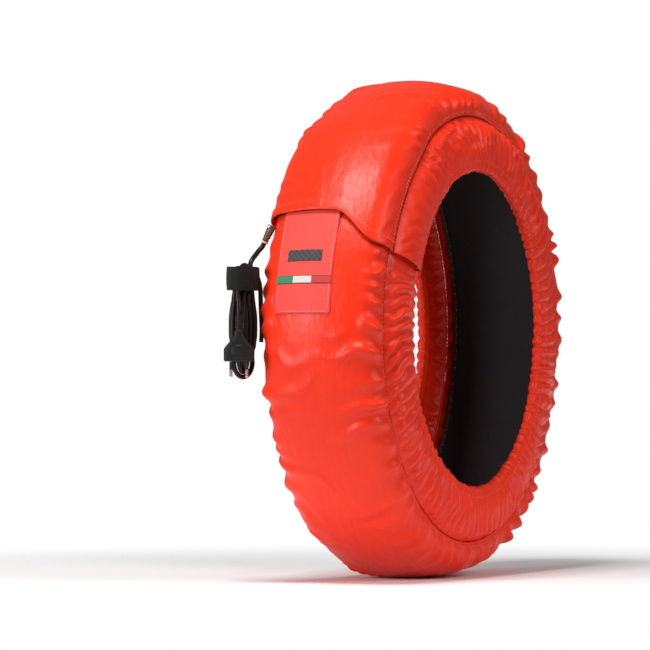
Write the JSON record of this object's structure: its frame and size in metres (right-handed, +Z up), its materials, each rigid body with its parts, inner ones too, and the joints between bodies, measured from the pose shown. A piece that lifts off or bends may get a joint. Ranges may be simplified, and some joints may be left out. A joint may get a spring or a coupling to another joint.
{
  "type": "motorcycle tyre warmer",
  "caption": "Padded electric warmer cover for a motorcycle front tyre, with gathered side panels, an overlapping closing flap with a pull tab, and a mains lead in a tied hank.",
  "frame": {"origin": "centre of the wheel that the warmer sits on", "axes": "+Y along the wheel's axle, +Z up, the closing flap and the pull tab towards -X"},
  "size_m": [0.6418, 0.2136, 0.6202],
  "materials": {
    "shell_fabric": "orange-red coated nylon, soft sheen",
    "tab_fabric": "matt red coated fabric",
    "lining_fabric": "black heat-proof woven lining",
    "felt": "grey needled felt",
    "heater": "woven blanket with heating wires",
    "elastic": "covered elastic cord",
    "hook_and_loop": "black hook and loop tape",
    "ribbon": "three-colour woven ribbon",
    "label_weave": "plain black woven label",
    "boot_rubber": "smoky brown translucent sleeve",
    "boot_ring": "pale moulded ring",
    "bright_metal": "nickel plated",
    "cord_jacket": "smooth black cord jacket",
    "black_plastic": "moulded black plastic, satin"
  },
  "bodies": {
    "root": {"tread_panel": "shell_fabric", "side_panel_left": "shell_fabric", "side_panel_right": "shell_fabric", "elastic_left": "elastic", "elastic_right": "elastic", "insulation_felt": "felt", "heating_blanket": "heater", "inner_lining": "lining_fabric", "thermostat": "black_plastic", "flap_facing": "lining_fabric", "hook_strip": "hook_and_loop", "loop_strip": "hook_and_loop", "pull_tab": "tab_fabric", "ribbon": "ribbon", "label": "label_weave", "cable_boot": "boot_rubber", "boot_ring": "boot_ring", "boot_rivet": "bright_metal", "power_lead": "cord_jacket", "cord_hank": "cord_jacket", "hank_tie": "hook_and_loop", "plug_lead": "cord_jacket", "plug_body": "black_plastic", "plug_pin_left": "bright_metal", "plug_pin_right": "bright_metal"}
  },
  "joints": []
}
